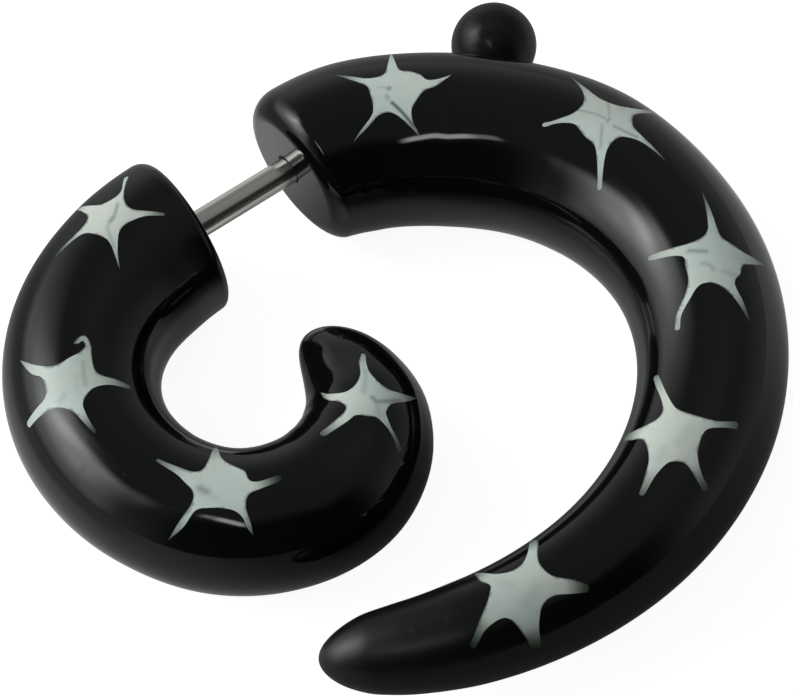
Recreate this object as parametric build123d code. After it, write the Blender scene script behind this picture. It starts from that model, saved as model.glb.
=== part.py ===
from build123d import *

import math
import os
from collections import namedtuple

os.makedirs("parts", exist_ok=True)

# Faux spiral plug earring lying flat on its side, in millimetres.
# Two black acrylic curls bend the same way from one steel post, so that they read as one spiral
# with the ear lobe between them. The post runs along X and both curls bend towards -Y.

# Driving dimensions
wear_gap = 5.6  # between the two flat faces, where the lobe sits
post_diameter = 1.3  # 16 gauge
thread_diameter = 1.15  # thin end of the post, inside the ball
ball_diameter = 4.0
ball_proud = 2.28  # from the outer side of the back curl to the middle of the ball, along the post
front_thickness = 7.74  # thickest diameter of the front curl
back_thickness = 8.06  # thickest diameter of the back curl
front_bend = 8.0  # usual bend radius of the front curl's centre line
curl_gap = 4.4  # from the front curl's lowest place up to the back curl's lowest stretch
front_rim = 0.6  # rounding of the front curl's flat face
back_rim = 1.1  # rounding of the back curl's flat face
socket_depth = 4.5  # blind socket in the front curl
thread_depth = 2.6  # blind hole in the ball, from the ball's surface
bore_offset = 0.25  # the bore stands this much outside the middle of the back curl's face

# Clearances
running_clearance = 0.06  # radial, post in the back curl's bore
fixed_clearance = 0.02  # radial, post in its socket and thread in the ball
end_clearance = 0.05  # at the blind ends and under the ball
seat_clearance = 0.15  # radial, ball in its seat

# The centre line of a curl is a chain of tangent arcs.
# turn is in degrees, and radius is a share of the curl's usual bend radius.
Bend = namedtuple("Bend", "turn radius")
FRONT_BENDS = [
    Bend(18.7, 1.62),
    Bend(70.8, 1.00),
    Bend(34.5, 1.10),
    Bend(50.6, 0.75),
    Bend(67.5, 0.56),
    Bend(54.2, 0.70),
]
BACK_BENDS = [
    Bend(32.6, 0.74),
    Bend(17.7, 1.37),
    Bend(60.5, 1.00),
    Bend(34.4, 1.06),
    Bend(30.8, 1.18),
    Bend(22.6, 1.40),
    Bend(15.7, 1.85),
]

# Round sections along a curl.
# along is a share of the centre line's length, and radius a share of the curl's thickest radius.
Section = namedtuple("Section", "along radius")
FRONT_SECTIONS = [
    Section(0.00, 0.995),
    Section(0.08, 1.000),
    Section(0.20, 0.962),
    Section(0.30, 0.920),
    Section(0.40, 0.877),
    Section(0.50, 0.846),
    Section(0.60, 0.848),
    Section(0.68, 0.856),
    Section(0.75, 0.852),
    Section(0.81, 0.815),
    Section(0.86, 0.740),
    Section(0.90, 0.623),
    Section(0.94, 0.499),
    Section(0.97, 0.362),
    Section(0.99, 0.213),
]
BACK_SECTIONS = [
    Section(0.000, 0.930),
    Section(0.060, 0.990),
    Section(0.150, 1.000),
    Section(0.280, 0.970),
    Section(0.350, 0.935),
    Section(0.420, 0.893),
    Section(0.500, 0.852),
    Section(0.580, 0.811),
    Section(0.660, 0.753),
    Section(0.740, 0.690),
    Section(0.810, 0.633),
    Section(0.880, 0.573),
    Section(0.930, 0.500),
    Section(0.960, 0.428),
    Section(0.980, 0.318),
    Section(0.993, 0.190),
]

Place = namedtuple("Place", "x y heading")
WALK_STEPS = 400  # steps of a search along a centre line


def line_length(bends, bend_size):
    """Length of a centre line."""
    return sum(math.radians(bend.turn) * bend.radius * bend_size for bend in bends)


def place_at(bends, bend_size, start, side, along):
    """Place and heading on a centre line, after a share of its length.

    It leaves start along X on that side, 1 for +X and -1 for -X, and bends towards -Y.
    """
    x, y = start
    heading = 0.0 if side > 0 else math.pi
    left = along * line_length(bends, bend_size)
    for bend in bends:
        radius = bend.radius * bend_size
        length = min(left, math.radians(bend.turn) * radius)
        after = heading - side * length / radius
        x -= side * radius * (math.sin(after) - math.sin(heading))
        y += side * radius * (math.cos(after) - math.cos(heading))
        heading = after
        left -= length
    return Place(x, y, heading)


def radius_at(sections, thickness, along):
    """Radius of a curl at a share of its length, straight between its sections."""
    for low, high in zip(sections, sections[1:]):
        if along <= high.along:
            share = (along - low.along) / (high.along - low.along)
            return thickness / 2 * (low.radius + share * (high.radius - low.radius))
    return 0.0


def walk(bends, bend_size, start, side, sections, thickness):
    """Places along a centre line, each with the curl's radius there."""
    shares = [step / WALK_STEPS for step in range(WALK_STEPS)]
    return [
        (place_at(bends, bend_size, start, side, share), radius_at(sections, thickness, share))
        for share in shares
    ]


def fit_bend_size(bends, sections, thickness, depth):
    """Bend size at which the upper side of a curl's lowest stretch lies that far below its start."""
    place, radius = min(walk(bends, 1.0, (0, 0), 1, sections, thickness), key=lambda step: step[0].y)
    return (depth + radius) / -place.y


def outer_exit(steps, height):
    """Where a line along X at that Y leaves the outer side of a curl."""
    inside = [
        place.x + math.sqrt(radius**2 - (height - place.y) ** 2)
        for place, radius in steps
        if abs(height - place.y) < radius and math.cos(place.heading) > 0
    ]
    return max(inside)


def make_curl(bends, bend_size, start, side, sections, thickness, rim):
    """A solid curl: round sections lofted along the centre line, a rounded flat face and a domed tip."""
    circles = []
    for section in sections:
        place = place_at(bends, bend_size, start, side, section.along)
        forward = (math.cos(place.heading), math.sin(place.heading), 0)
        plane = Plane(origin=(place.x, place.y, 0), x_dir=(0, 0, 1), z_dir=forward)
        circles.append(plane * Circle(thickness / 2 * section.radius))
    body = loft(circles)
    face = body.faces().filter_by(GeomType.PLANE).sort_by(lambda f: abs(f.center().X - start[0]))[0]
    body = fillet(face.edges(), rim)
    base_radius = thickness / 2 * sections[-1].radius
    dome_height = (1 - sections[-1].along) * line_length(bends, bend_size)
    dome_radius = (base_radius**2 + dome_height**2) / (2 * dome_height)
    dome = plane * Pos(0, 0, dome_height - dome_radius) * Sphere(dome_radius)
    return body + split(dome, bisect_by=plane, keep=Keep.TOP)


def rod(radius, low, high):
    """A round bar on the post's axis, from one X to another."""
    return Pos((low + high) / 2, 0, 0) * Rot(0, 90, 0) * Cylinder(radius, high - low)


# Places along X, with the back curl's face at zero and the post's axis at Y and Z zero
front_face = -wear_gap
socket_end = front_face - socket_depth
front_start = (front_face, 0)
back_start = (0, -bore_offset)
front_steps = walk(FRONT_BENDS, front_bend, front_start, -1, FRONT_SECTIONS, front_thickness)
front_depth = max(radius - place.y for place, radius in front_steps)
back_bend = fit_bend_size(BACK_BENDS, BACK_SECTIONS, back_thickness, front_depth + curl_gap - bore_offset)
back_steps = walk(BACK_BENDS, back_bend, back_start, 1, BACK_SECTIONS, back_thickness)
ball_radius = ball_diameter / 2
ball_middle = outer_exit(back_steps, 0) + ball_proud
bore_radius = post_diameter / 2 + running_clearance
seat_floor = ball_middle - math.sqrt(ball_radius**2 - bore_radius**2) - end_clearance
shoulder = ball_middle - ball_radius - end_clearance
thread_end = ball_middle - ball_radius + thread_depth - end_clearance

front_curl = make_curl(
    FRONT_BENDS, front_bend, front_start, -1, FRONT_SECTIONS, front_thickness, front_rim
)
front_curl -= rod(post_diameter / 2 + fixed_clearance, socket_end, front_face + front_rim)

back_curl = make_curl(BACK_BENDS, back_bend, back_start, 1, BACK_SECTIONS, back_thickness, back_rim)
back_curl -= rod(bore_radius, -back_rim, ball_middle + ball_radius)
back_curl -= rod(ball_radius + seat_clearance, seat_floor, ball_middle + 2 * ball_diameter)

post = rod(post_diameter / 2, socket_end + end_clearance, shoulder)
post += rod(thread_diameter / 2, shoulder, thread_end)

screw_ball = Pos(ball_middle, 0, 0) * Sphere(ball_radius)
screw_ball -= rod(
    thread_diameter / 2 + fixed_clearance, ball_middle - 2 * ball_radius, thread_end + end_clearance
)

pieces = {
    "front_curl": front_curl,
    "post": post,
    "back_curl": back_curl,
    "screw_ball": screw_ball,
}

# The frame's origin lies under the middle of the whole earring, on the surface that it rests on
box = Compound(children=[Part(piece.wrapped) for piece in pieces.values()]).bounding_box()
to_frame = Pos(-box.center().X, -box.center().Y, -box.min.Z)
for name, piece in pieces.items():
    export_step(to_frame * piece, f"parts/{name}.step")

# Key places in the frame, for the record
axis = to_frame.position
print(f"post axis at Y {axis.Y:.4f}, Z {axis.Z:.4f}")
print(f"front face X {front_face + axis.X:.4f}, back face X {axis.X:.4f}")
print(f"seat floor X {seat_floor + axis.X:.4f}, ball middle X {ball_middle + axis.X:.4f}")
print(f"back bend {back_bend:.3f}, lengths {line_length(FRONT_BENDS, front_bend):.2f}", end=" ")
print(f"and {line_length(BACK_BENDS, back_bend):.2f}")
print(f"overall {box.size.X:.3f} by {box.size.Y:.3f} by {box.size.Z:.3f}")
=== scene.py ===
"""Faux spiral plug earring lying on its side: two painted acrylic curls, a steel post and a ball."""

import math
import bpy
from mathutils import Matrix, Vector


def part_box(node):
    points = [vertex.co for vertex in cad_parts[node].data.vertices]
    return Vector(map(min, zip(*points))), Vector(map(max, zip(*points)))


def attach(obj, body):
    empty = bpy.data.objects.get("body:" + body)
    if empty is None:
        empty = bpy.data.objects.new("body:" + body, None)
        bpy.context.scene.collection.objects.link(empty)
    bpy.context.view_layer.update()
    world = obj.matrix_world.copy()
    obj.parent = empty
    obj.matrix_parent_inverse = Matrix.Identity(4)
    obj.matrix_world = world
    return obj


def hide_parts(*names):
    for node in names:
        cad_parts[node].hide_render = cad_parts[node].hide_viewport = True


bl_info = {
    "name": "Faux Spiral Earring",
    "version": (1, 0, 0),
    "blender": (4, 5, 0),
    "location": "View3D > Sidebar > Earring",
    "description": "Painted curls, turned post and ball for the packed earring, on a pale stage",
    "category": "Add Mesh",
}

from collections import namedtuple

import bmesh
import bpy
import numpy as np
from bpy.props import FloatProperty, FloatVectorProperty, IntProperty, PointerProperty
from mathutils import Matrix, Vector
from mathutils.geometry import delaunay_2d_cdt

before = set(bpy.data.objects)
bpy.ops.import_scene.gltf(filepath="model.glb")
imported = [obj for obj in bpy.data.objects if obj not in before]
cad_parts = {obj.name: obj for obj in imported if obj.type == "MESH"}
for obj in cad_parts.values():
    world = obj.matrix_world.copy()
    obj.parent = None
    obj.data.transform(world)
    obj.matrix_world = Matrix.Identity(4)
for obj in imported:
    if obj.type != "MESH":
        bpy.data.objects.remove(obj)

MM = 0.001  # a millimetre, in metres

# Places along the post's axis, in millimetres from the back curl's flat face
FRONT_FACE = -5.6
POST_START = -10.05  # blind end of the post, inside the front curl
SOCKET_END = -10.1
BACK_MIDDLE = (0.0, -0.25)  # middle of the back curl's face, beside the post's axis

# Clearances between the pieces, in millimetres
RUNNING_CLEARANCE = 0.06  # round the post in the back curl's bore
FIXED_CLEARANCE = 0.02  # round the post in its socket, and round its thin end in the ball
END_CLEARANCE = 0.05  # before the blind ends and under the ball
SEAT_CLEARANCE = 0.15  # round the ball in its seat

# Small chamfers, in millimetres
SOCKET_CHAMFER = 0.03
BORE_CHAMFER = 0.04
HOLE_CHAMFER = 0.04  # at the mouth of the ball's hole
POST_CHAMFER = 0.08  # at both ends of the post
SHOULDER_CHAMFER = 0.05

# The centre line of a curl is a chain of tangent arcs that bend towards -Y.
# turn is in degrees, and radius is a share of the curl's usual bend radius.
Bend = namedtuple("Bend", "turn radius")
FRONT_BENDS = [
    Bend(18.7, 1.62),
    Bend(70.8, 1.00),
    Bend(34.5, 1.10),
    Bend(50.6, 0.75),
    Bend(67.5, 0.56),
    Bend(54.2, 0.70),
]
BACK_BENDS = [
    Bend(32.6, 0.74),
    Bend(17.7, 1.37),
    Bend(60.5, 1.00),
    Bend(34.4, 1.06),
    Bend(30.8, 1.18),
    Bend(22.6, 1.40),
    Bend(15.7, 1.85),
]

# Round sections along a curl.
# along is a share of the centre line's length, and radius a share of the curl's thickest radius.
Section = namedtuple("Section", "along radius")
FRONT_SECTIONS = [
    Section(0.00, 0.995),
    Section(0.08, 1.000),
    Section(0.20, 0.962),
    Section(0.30, 0.920),
    Section(0.40, 0.877),
    Section(0.50, 0.846),
    Section(0.60, 0.848),
    Section(0.68, 0.856),
    Section(0.75, 0.852),
    Section(0.81, 0.815),
    Section(0.86, 0.740),
    Section(0.90, 0.623),
    Section(0.94, 0.499),
    Section(0.97, 0.362),
    Section(0.99, 0.213),
    Section(1.00, 0.000),
]
BACK_SECTIONS = [
    Section(0.000, 0.930),
    Section(0.060, 0.990),
    Section(0.150, 1.000),
    Section(0.280, 0.970),
    Section(0.350, 0.935),
    Section(0.420, 0.893),
    Section(0.500, 0.852),
    Section(0.580, 0.811),
    Section(0.660, 0.753),
    Section(0.740, 0.690),
    Section(0.810, 0.633),
    Section(0.880, 0.573),
    Section(0.930, 0.500),
    Section(0.960, 0.428),
    Section(0.980, 0.318),
    Section(0.993, 0.190),
    Section(1.000, 0.000),
]

# A flat face isn't quite square to the post: its outer side leans into the gap. lean is a slope, and
# setback the millimetres that the face stands back, so that the two never touch.
Face = namedtuple("Face", "lean setback")
FRONT_SQUARENESS = Face(0.015, 0.0)
BACK_SQUARENESS = Face(0.05, 0.10)
LEAN_REACH = 7.0  # millimetres down the centre line after which a curl leans no more

# A painted star. along is in millimetres down the centre line and turn in degrees round the curl,
# from the top towards the outer side. Places on a star are in millimetres from its middle,
# x towards the curl's tip and y towards its outer side, and go round the star clockwise.
# A star's third value darkens the whole star towards thin paint, from 0 to 1: in part this is thinner
# paint, and on the back curl's last three stars it is painted shade where less light falls. A ray has
# its tip, how blunt it is, how far its paint fades, and the edge from it to the next ray.
Star = namedtuple("Star", "along turn worn rays strokes")
Ray = namedtuple("Ray", "x y blunt fade edge")
Stroke = namedtuple("Stroke", "wide dark path")  # a brush mark where the paint is thin

# A shallow hollow in a curl, or a swelling where its depth is negative. along, deep and long are in
# millimetres, turn and wide in degrees round the curl.
Dent = namedtuple("Dent", "along turn deep long wide")
FRONT_DENTS = [
    Dent(1.5, 58.0, -0.05, 2.5, 45.0),
    Dent(26.2, 115.0, -0.07, 2.3, 45.0),
    Dent(30.0, -60.0, 0.07, 2.5, 45.0),
]
BACK_DENTS = [
    Dent(2.0, 60.0, -0.05, 2.2, 45.0),
    Dent(14.2, 57.0, -0.11, 2.6, 50.0),
    Dent(19.2, 62.0, 0.05, 2.6, 50.0),
    Dent(50.2, -57.0, -0.06, 1.6, 50.0),
]

FRONT_STARS = [
    Star(3.31, 7.3, 0.00, [
        Ray(-0.12, 3.90, 0.00, 0.5, [(0.12, 2.20), (0.42, 1.35), (1.15, 1.27)]),
        Ray(2.40, 1.65, 0.12, 0.8, [(1.25, 0.98), (0.98, 0.30), (1.05, -0.65)]),
        Ray(1.95, -1.75, 0.00, 0.3, [(0.95, -1.00), (0.10, -0.55), (-0.95, -0.85)]),
        Ray(-1.85, -1.45, 0.15, 0.5, [(-1.10, -0.50), (-0.92, 0.10), (-1.30, 0.85)]),
        Ray(-2.08, 1.88, 0.20, 0.0, [(-1.35, 1.12), (-0.75, 1.12), (-0.27, 1.70)]),
    ], [
        Stroke(0.16, 0.50, [(-0.75, 0.60), (-0.60, 0.45), (-0.20, 0.20)]),
        Stroke(0.24, 0.55, [(-0.12, 0.17), (0.12, 0.13)]),
        Stroke(0.16, 0.28, [(0.12, 0.13), (0.45, 0.00), (1.10, -0.90)]),
        Stroke(0.14, 0.30, [(-0.75, 1.20), (-0.45, 1.55)]),
    ]),
    Star(11.96, 5.4, 0.05, [
        Ray(0.38, 2.90, 0.25, 0.0, [(0.50, 2.00), (0.62, 1.20), (1.10, 0.60), (1.70, 0.42)]),
        Ray(2.65, 0.28, 0.15, 0.8, [(1.60, 0.08), (1.05, -0.10), (0.60, -0.80), (0.65, -1.60)]),
        Ray(0.95, -2.55, 0.30, 0.5, [
            (0.35, -2.00), (0.00, -1.40), (-0.40, -1.15), (-1.34, -1.15), (-1.76, -1.17),
            (-2.18, -1.07), (-2.40, -0.89), (-2.28, -0.63),
        ]),
        Ray(-1.99, -0.40, 0.00, 0.0, [
            (-1.98, -0.63), (-2.09, -0.82), (-1.81, -0.91), (-1.52, -0.68), (-1.35, -0.32),
            (-1.12, 0.50), (-1.40, 1.30),
        ]),
        Ray(-2.05, 2.30, 0.00, 0.3, [
            (-1.25, 1.75), (-0.90, 1.30), (-0.50, 1.20), (0.00, 1.40), (0.15, 2.10),
        ]),
    ], [
        Stroke(0.28, 0.90, [(-1.95, -0.36), (-2.22, -0.54)]),
        Stroke(0.26, 0.28, [(-0.95, -0.72), (0.30, -0.52)]),
        Stroke(0.36, 0.10, [(-0.30, -0.30), (0.40, -0.10)]),
        Stroke(0.34, 0.20, [(0.35, 0.55), (0.50, 0.80)]),
    ]),
    Star(20.90, 6.1, 0.00, [
        Ray(-1.60, 2.70, 0.00, 0.6, [
            (-1.15, 1.90), (-0.85, 1.10), (-0.30, 0.88), (0.40, 0.90), (0.80, 1.20), (1.00, 1.80),
        ]),
        Ray(1.15, 2.10, 0.00, 0.6, [(1.10, 1.50), (0.98, 0.80), (1.10, 0.30), (1.50, 0.10)]),
        Ray(2.60, -0.25, 0.30, 0.9, [
            (1.50, -0.30), (1.15, -0.50), (0.95, -1.00), (0.10, -1.50), (-0.40, -1.90),
        ]),
        Ray(-1.20, -2.90, 0.20, 0.4, [(-1.05, -1.60), (-1.10, -0.90), (-1.50, -0.65), (-2.20, -0.65)]),
        Ray(-3.30, -0.55, 0.15, 0.5, [
            (-2.20, -0.30), (-1.60, -0.02), (-1.15, 0.30), (-1.05, 0.80), (-1.30, 1.60),
        ]),
    ], [
        Stroke(0.34, 0.50, [(-0.90, 0.08), (-0.60, 0.18)]),
        Stroke(0.30, 0.14, [(-0.60, 0.20), (-0.20, 0.45)]),
    ]),
    Star(29.06, 7.1, 0.00, [
        Ray(-1.50, 2.15, 0.20, 0.7, [
            (-0.95, 1.35), (-0.55, 0.95), (-0.35, 0.92), (0.00, 1.15), (0.30, 1.90),
        ]),
        Ray(0.65, 2.65, 0.00, 0.6, [
            (0.55, 1.80), (0.60, 1.00), (0.95, 0.50), (1.50, 0.22), (2.10, 0.30),
        ]),
        Ray(2.65, 0.40, 0.25, 0.2, [
            (2.20, -0.05), (1.40, -0.25), (0.85, -0.55), (0.50, -0.95), (0.50, -1.40), (0.80, -2.00),
        ]),
        Ray(1.30, -2.45, 0.00, 0.4, [
            (0.60, -2.20), (0.10, -1.80), (-0.15, -1.30), (-0.50, -0.90), (-0.90, -0.85),
            (-1.60, -1.10),
        ]),
        Ray(-2.70, -1.20, 0.35, 0.6, [
            (-2.00, -0.80), (-1.30, -0.50), (-0.95, -0.30), (-0.85, 0.20), (-0.80, 0.60),
            (-1.10, 1.35),
        ]),
    ], [
        Stroke(0.20, 0.55, [(0.10, 0.22), (-0.09, 0.42), (0.08, 1.00), (0.22, 1.55)]),
        Stroke(0.22, 0.22, [(-0.10, 0.42), (-0.62, 0.62)]),
        Stroke(0.30, 0.25, [(0.40, -0.20), (1.60, 0.05)]),
    ]),
]
BACK_STARS = [
    Star(5.49, -2.0, 0.00, [
        Ray(-0.15, 3.60, 0.00, 0.0, [
            (0.05, 2.00), (0.25, 1.35), (0.70, 1.20), (1.15, 0.95), (1.45, 0.62), (1.90, 0.65),
        ]),
        Ray(2.50, 0.95, 0.00, 0.0, [
            (1.90, 0.25), (1.40, 0.00), (1.05, -0.50), (0.80, -1.00), (0.85, -1.50), (1.05, -1.90),
        ]),
        Ray(1.35, -2.40, 0.00, 0.7, [
            (0.75, -1.80), (0.10, -1.25), (-0.35, -1.05), (-0.90, -1.15), (-1.50, -1.55),
        ]),
        Ray(-2.70, -2.15, 0.00, 0.4, [
            (-1.90, -1.60), (-1.30, -1.15), (-1.10, -0.70), (-1.15, 0.00), (-1.25, 0.50),
            (-1.80, 1.05),
        ]),
        Ray(-2.50, 1.85, 0.00, 0.8, [
            (-1.60, 1.20), (-1.20, 0.98), (-0.75, 0.98), (-0.40, 1.20), (-0.25, 2.00),
        ]),
    ], [
        Stroke(0.20, 0.65, [(-0.28, 0.17), (-0.22, 0.22)]),
        Stroke(0.22, 0.35, [(-0.38, -0.22), (-0.34, -0.36)]),
        Stroke(0.10, 0.30, [(-0.75, 0.30), (-0.35, 0.28)]),
        Stroke(0.17, 0.95, [(-0.15, -0.58), (0.25, -1.00), (0.95, -1.80)]),
    ]),
    Star(15.27, 9.0, 0.00, [
        Ray(0.70, 3.40, 0.20, 0.6, [
            (0.72, 2.30), (0.60, 1.40), (0.85, 0.90), (1.20, 0.65), (2.00, 0.55),
        ]),
        Ray(3.30, 0.45, 0.00, 0.6, [
            (2.00, 0.30), (1.40, 0.05), (1.05, -0.30), (1.00, -0.90), (1.25, -1.50), (1.80, -2.25),
        ]),
        Ray(2.15, -2.85, 0.25, 0.2, [
            (1.60, -2.40), (1.00, -1.80), (0.40, -1.30), (-0.20, -1.20), (-0.75, -0.98),
            (-1.10, -0.90), (-1.70, -1.15),
        ]),
        Ray(-2.40, -1.55, 0.20, 0.0, [
            (-2.00, -1.15), (-1.50, -0.60), (-1.30, -0.10), (-1.35, 0.45), (-1.75, 1.10),
        ]),
        Ray(-2.70, 2.00, 0.00, 0.6, [
            (-1.90, 1.50), (-1.30, 1.20), (-0.80, 1.12), (-0.20, 1.30), (0.30, 1.85), (0.50, 2.50),
        ]),
    ], [
        Stroke(0.12, 0.42, [(-1.45, -0.20), (-0.60, 0.08), (-0.10, 0.15)]),
        Stroke(0.14, 0.45, [(0.05, 0.30), (0.12, 0.05)]),
        Stroke(0.16, 0.45, [(0.50, 0.05), (1.00, 0.15), (1.55, 0.32)]),
        Stroke(0.15, 0.35, [(0.05, -0.25), (0.35, -0.70), (0.75, -1.25)]),
        Stroke(0.12, 0.30, [(-0.05, 0.45), (-0.55, 1.10)]),
    ]),
    Star(23.89, 9.0, 0.08, [
        Ray(0.10, 2.80, 0.00, 0.4, [
            (0.25, 2.00), (0.40, 1.35), (0.85, 1.10), (1.15, 0.80), (1.50, 0.75), (2.20, 1.05),
        ]),
        Ray(3.20, 1.40, 0.00, 0.8, [
            (2.10, 0.65), (1.50, 0.10), (1.25, -0.45), (1.35, -0.95), (1.90, -1.40), (2.70, -1.90),
        ]),
        Ray(3.50, -2.20, 0.30, 0.2, [
            (2.60, -2.15), (1.60, -1.60), (0.90, -1.35), (0.10, -1.30), (-0.35, -1.25), (-0.60, -1.50),
            (-1.00, -2.40),
        ]),
        Ray(-1.35, -2.80, 0.25, 0.3, [
            (-1.30, -2.30), (-1.10, -1.50), (-1.00, -0.80), (-1.10, -0.20), (-1.40, 0.20),
            (-2.00, 0.45),
        ]),
        Ray(-3.50, 0.95, 0.00, 0.7, [
            (-2.40, 0.80), (-1.50, 0.68), (-0.95, 0.72), (-0.60, 1.10), (-0.25, 1.60), (-0.05, 2.20),
        ]),
    ], [
        Stroke(0.22, 0.50, [(-0.35, -0.22), (-0.62, -0.95)]),
        Stroke(0.20, 0.30, [(0.62, -0.10), (0.30, -0.30), (0.20, -0.55)]),
        Stroke(0.26, 0.20, [(0.75, 0.30), (0.95, 0.80)]),
    ]),
    Star(33.14, -4.2, 0.10, [
        Ray(-1.65, 2.35, 0.30, 0.5, [
            (-1.20, 1.80), (-0.85, 1.25), (-0.50, 1.10), (0.10, 1.20), (0.60, 1.45), (1.05, 2.00),
        ]),
        Ray(1.45, 2.60, 0.30, 0.7, [
            (1.35, 1.90), (1.10, 1.20), (1.15, 0.80), (1.50, 0.40), (2.30, 0.30),
        ]),
        Ray(3.40, 0.35, 0.25, 0.5, [
            (2.40, -0.15), (1.70, -0.45), (1.10, -0.90), (0.70, -1.40), (0.75, -2.10),
        ]),
        Ray(0.50, -2.90, 0.40, 0.7, [
            (0.10, -2.20), (-0.10, -1.70), (-0.50, -1.20), (-1.00, -1.05), (-1.70, -1.35),
            (-2.50, -1.85),
        ]),
        Ray(-3.30, -2.10, 0.30, 0.4, [
            (-2.30, -1.35), (-1.50, -0.75), (-1.20, -0.30), (-1.15, 0.50), (-1.30, 1.40),
        ]),
    ], [
        Stroke(0.60, 0.12, [(-0.30, 0.40), (0.40, 0.30)]),
        Stroke(0.50, 0.12, [(0.90, -0.10), (1.60, 0.00)]),
    ]),
    Star(42.99, 10.0, 0.22, [
        Ray(0.65, 2.80, 0.40, 0.9, [(0.95, 1.70), (1.20, 0.95), (1.60, 0.75), (2.30, 1.00)]),
        Ray(3.10, 1.60, 0.30, 0.9, [
            (2.40, 0.50), (1.90, -0.10), (1.55, -0.60), (1.40, -1.00), (1.70, -1.60),
        ]),
        Ray(1.70, -2.70, 0.00, 0.6, [
            (1.35, -2.10), (0.90, -1.50), (0.20, -1.20), (-0.50, -1.35), (-1.10, -2.00),
        ]),
        Ray(-1.60, -2.90, 0.00, 0.7, [
            (-1.75, -2.20), (-1.20, -1.30), (-1.00, -0.70), (-1.15, 0.00), (-1.80, 0.60),
        ]),
        Ray(-2.20, 1.25, 0.35, 0.8, [(-1.50, 1.10), (-0.80, 0.80), (-0.20, 0.95), (0.25, 1.70)]),
    ], [
        Stroke(0.60, 0.15, [(-0.40, 0.10), (0.30, 0.50)]),
        Stroke(0.50, 0.12, [(0.60, -0.60), (0.90, -0.90)]),
    ]),
]

Curl = namedtuple(
    "Curl", "piece node body start side bend_size thickness rim face bends sections dents stars"
)

# Fine layout of a curl's mesh
LINE_STEP = 0.04  # millimetres between samples of a centre line
LINE_SOFTENING = 1.2  # millimetres over which one bend passes into the next
RIM_ROUNDS = 8  # rounds of the search for where the rim meets the tube
POLE_CLEAR = 0.5  # radius in millimetres up to which no hollow or swelling shows
FACE_RINGS = 8
RIM_RINGS = 10
TIP_LENGTH = 2.0  # the last stretch, whose rings draw together towards the tip
TIP_RINGS = 14
STAR_GRAIN = 0.16  # millimetres between mesh points inside a star
EDGE_GRAIN = 0.10  # millimetres between mesh points on a star's outline
STROKE_GRAIN = 0.06  # millimetres between mesh points along a brush mark
EDGE_GAP = 0.55  # share of the grain that stays free inside a star's outline
STROKE_GAP = 1.5  # times the stroke grain, free of the star's other points round a brush mark's
FAINTEST_MARK = 0.03  # strength of a brush mark below which it has no points of its own
CAP_STEPS = 6  # straight steps round a blunt ray's end
WINDOW_MARGIN = 0.3  # least millimetres from a star to the border of its window in the lattice
JOIN_DISTANCE = 1e-5  # millimetres between points that are taken as one
TINY = 1e-12  # keeps a division from failing

# How a star's paint lies
FADE_START = 0.45  # share of a ray's length after which its paint fades
LEAST_FADE = 0.25  # how thin the paint is at the end of a ray that doesn't fade
CRISP_WIDTH = 0.14  # half width of a ray, in millimetres, up to which its edge is crisp
SOFTENING_WIDTH = 0.16  # further half width over which the edge turns soft

# Turned meshes
ROUND_SIDES = 96  # sides of the post and of the drills
BALL_SIDES = 128
BALL_STEPS = 64  # steps from the mouth of the ball's hole to its far pole
POST_STEP = 0.5  # millimetres between the rings of the post's mesh
LATHE_TURN = 0.4  # share of a side by which a turned mesh is turned, so that no cut follows an edge
SHARP_TURN = 35.0  # degrees between two faces from which their edge is sharp

ACRYLIC, PAINT, BORED = range(3)  # places of the materials on a curl

# The bake map: the skin in a strip, the stars in a row above it, and what is bored above them
BAKE_MARGIN = 0.01
STRIP_HEIGHT = 0.62  # share of the bake map that the curl's skin takes
STAR_ROW = 0.80  # height of the middles of the star islands
STAR_SPAN = 8.2  # millimetres across a star's island
STAR_PLACES = 5
BORE_ROW = 0.92
BORE_HEIGHT = 0.06

ACRYLIC_IOR = 1.49
DAYLIGHT = (0.97, 1.0, 0.98, 1.0)

# Pools of light painted as glow on the floor that only the earring sees, in millimetres. The last one is
# a painted shade, darker.
LightPool = namedtuple("LightPool", "x y wide glow")
FLOOR_LIGHT_POOLS = [
    LightPool(6.0, 3.0, 5.0, 0.28),
    LightPool(-2.0, 6.0, 3.5, 0.34),
    LightPool(0.0, 17.5, 4.0, 0.42),
    LightPool(0.0, 12.0, 2.5, -0.12),
]

# Directions from the earring in which that floor glows brighter as painted light, in degrees clockwise
# from +Y
Sector = namedtuple("Sector", "azimuth wide glow")
WINDOW_SECTOR = Sector(-65.0, 25.0, 0.50)
FLOOR_SECTORS = [
    Sector(-105.0, 25.0, 0.20),
    Sector(12.0, 20.0, 0.22),
    Sector(88.0, 33.0, 0.40),
]

FLOOR_LEAST = 0.03  # glow of that floor in its darkest places
SECTORS_SET_IN = (7.0, 14.0)  # millimetres from the middle, over which the sectors begin
WINDOW_FADES = (28.0, 42.0)  # and over which the window's own falls off

# Soft-edged patches round the earring, in degrees. Each side has where it begins and where it ends.
Patch = namedtuple("Patch", "left right bottom top")
WALL = Patch((-90.0, -76.0), (-30.0, 8.0), (0.0, 13.0), (47.0, 58.0))
PANE = Patch((-82.0, -58.0), (-44.0, -10.0), (11.0, 33.0), (46.0, 58.0))
LAMP = Patch((-140.0, -134.0), (-108.0, -102.0), (56.4, 58.3), (61.0, 63.0))
LAMP_MIDDLE = -120.0  # the lamp's streak bends round this azimuth
LAMP_DIMS = (-120.0, -114.0)  # where the lamp turns dimmer
DARK_SIDE = math.radians(-155.0)  # where the room is dark, behind the camera

# Soft round glows round the earring, in degrees
Glow = namedtuple("Glow", "azimuth elevation wide tall strength")
WINDOW_GLOWS = [
    Glow(-46.0, 41.0, 8.0, 10.0, 3.5),
    Glow(-30.0, 54.0, 9.0, 5.0, 1.5),
]
ROOM_GLOWS = [
    Glow(16.0, 14.0, 18.0, 18.0, 0.13),
    Glow(85.0, 62.0, 45.0, 14.0, 0.08),
]

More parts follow.
